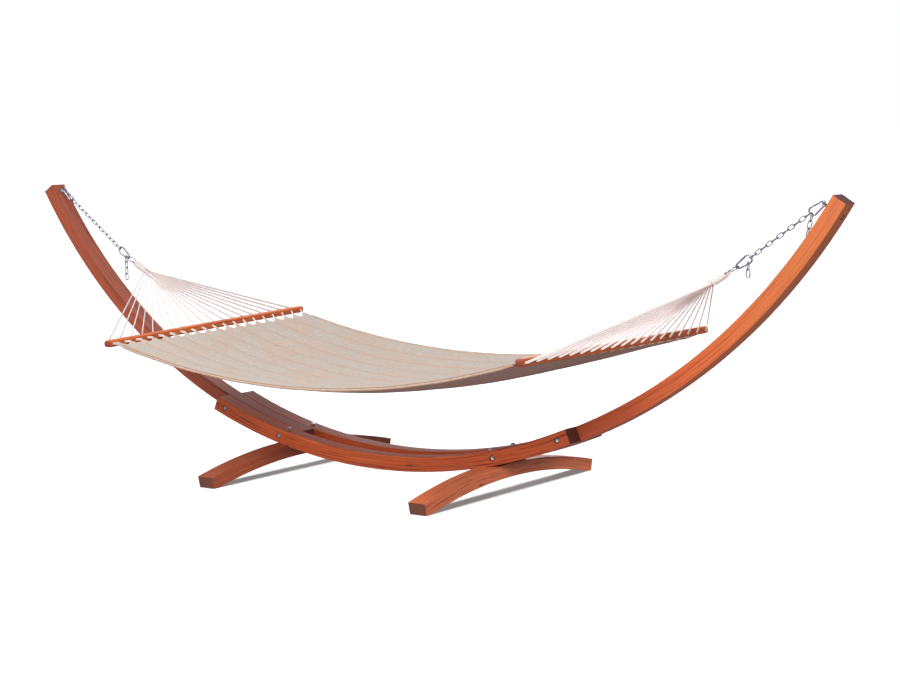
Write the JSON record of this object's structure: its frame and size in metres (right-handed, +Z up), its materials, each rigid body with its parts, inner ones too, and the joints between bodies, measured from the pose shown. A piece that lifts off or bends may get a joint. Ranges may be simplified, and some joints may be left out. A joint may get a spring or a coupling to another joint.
{
  "type": "hammock on stand",
  "caption": "Quilted hammock with two wooden spreader bars, hung on chains and carabiners from a curved wooden arch that stands on two arched cross feet.",
  "frame": {"origin": "on the floor, under the middle of the arch", "axes": "+X along the stand from the left arm's tip to the right arm's tip, +Z up, -Y towards the front rail with the bolt heads"},
  "size_m": [4.0994, 1.3604, 1.224],
  "materials": {
    "arch_wood": "satin stained pine, red-brown",
    "foot_wood": "satin stained pine, red-brown",
    "bar_wood": "satin stained, orange-red",
    "zinc_fasteners": "bright zinc plate",
    "zinc_carabiner": "bright zinc plate",
    "zinc_chain": "bright zinc plate",
    "zinc_ring": "bright zinc plate",
    "rope": "twisted polyester rope, off-white",
    "bed_fabric": "quilted woven polyester, beige",
    "bed_underside": "woven polyester, tan-brown",
    "bed_wadding": "polyester wadding",
    "bed_binding": "woven tape, tan"
  },
  "bodies": {
    "stand": {"left_arm": "arch_wood", "right_arm": "arch_wood", "front_rail": "arch_wood", "back_rail": "arch_wood", "left_foot": "foot_wood", "right_foot": "foot_wood", "clamp_bolts": "zinc_fasteners", "clamp_washers": "zinc_fasteners", "clamp_nuts": "zinc_fasteners", "foot_bolts": "zinc_fasteners", "foot_washers": "zinc_fasteners", "foot_nuts": "zinc_fasteners", "left_eye_bolt": "zinc_fasteners", "right_eye_bolt": "zinc_fasteners", "eye_washers": "zinc_fasteners", "eye_nuts": "zinc_fasteners"},
    "hammock": {"left_upper_carabiner": "zinc_carabiner", "left_upper_rivet": "zinc_carabiner", "left_lower_carabiner": "zinc_carabiner", "left_lower_rivet": "zinc_carabiner", "right_upper_carabiner": "zinc_carabiner", "right_upper_rivet": "zinc_carabiner", "right_lower_carabiner": "zinc_carabiner", "right_lower_rivet": "zinc_carabiner", "left_chain": "zinc_chain", "right_chain": "zinc_chain", "left_ring": "zinc_ring", "right_ring": "zinc_ring", "left_rope_bundle": "rope", "right_rope_bundle": "rope", "left_whipping": "rope", "right_whipping": "rope", "left_clew": "rope", "right_clew": "rope", "left_cords": "rope", "right_cords": "rope", "left_spreader_bar": "bar_wood", "right_spreader_bar": "bar_wood", "bed_top_cover": "bed_fabric", "bed_padding": "bed_wadding", "bed_bottom_cover": "bed_underside", "left_hem": "bed_fabric", "right_hem": "bed_fabric", "front_binding": "bed_binding", "back_binding": "bed_binding"},
    "left_upper_gate": {"left_upper_gate": "zinc_carabiner"},
    "left_lower_gate": {"left_lower_gate": "zinc_carabiner"},
    "right_upper_gate": {"right_upper_gate": "zinc_carabiner"},
    "right_lower_gate": {"right_lower_gate": "zinc_carabiner"},
    "left_lower_chain_tail": {"left_lower_chain_tail": "zinc_chain"},
    "right_upper_chain_tail": {"right_upper_chain_tail": "zinc_chain"},
    "right_lower_chain_tail": {"right_lower_chain_tail": "zinc_chain"}
  },
  "joints": [
    {"name": "hammock_swing", "type": "hinge", "parent": "stand", "child": "hammock", "pos_m": [0, 0, 1.19204], "axis": [1, 0, 0], "range_deg": [-20, 20]},
    {"name": "left_upper_gate_opens", "type": "hinge", "parent": "hammock", "child": "left_upper_gate", "pos_m": [-1.94401, -0.01039, 1.18597], "axis": [0.6293, 0, 0.7771], "range_deg": [0, 22], "stiffness_Nm_per_rad": 0.05, "springref_deg": -17.19},
    {"name": "left_lower_gate_opens", "type": "hinge", "parent": "hammock", "child": "left_lower_gate", "pos_m": [-1.55411, 0, 0.90934], "axis": [0, -1, 0], "range_deg": [0, 22], "stiffness_Nm_per_rad": 0.05, "springref_deg": -17.19},
    {"name": "right_upper_gate_opens", "type": "hinge", "parent": "hammock", "child": "right_upper_gate", "pos_m": [1.9276, 0, 1.19453], "axis": [0, -1, 0], "range_deg": [0, 22], "stiffness_Nm_per_rad": 0.05, "springref_deg": -17.19},
    {"name": "right_lower_gate_opens", "type": "hinge", "parent": "hammock", "child": "right_lower_gate", "pos_m": [1.60294, 0, 0.9667], "axis": [0, 1, 0], "range_deg": [0, 22], "stiffness_Nm_per_rad": 0.05, "springref_deg": -17.19},
    {"name": "left_lower_chain_tail_dangles", "type": "hinge", "parent": "hammock", "child": "left_lower_chain_tail", "pos_m": [-1.56424, 0, 0.89143], "axis": [0.8954, 0, -0.4452], "range_deg": [-30, 30]},
    {"name": "right_upper_chain_tail_dangles", "type": "hinge", "parent": "hammock", "child": "right_upper_chain_tail", "pos_m": [1.89905, 0, 1.14764], "axis": [0.9659, 0, -0.2588], "range_deg": [-30, 30]},
    {"name": "right_lower_chain_tail_dangles", "type": "hinge", "parent": "hammock", "child": "right_lower_chain_tail", "pos_m": [1.64162, 0, 0.96202], "axis": [0.9068, 0, 0.4216], "range_deg": [-30, 30]}
  ]
}
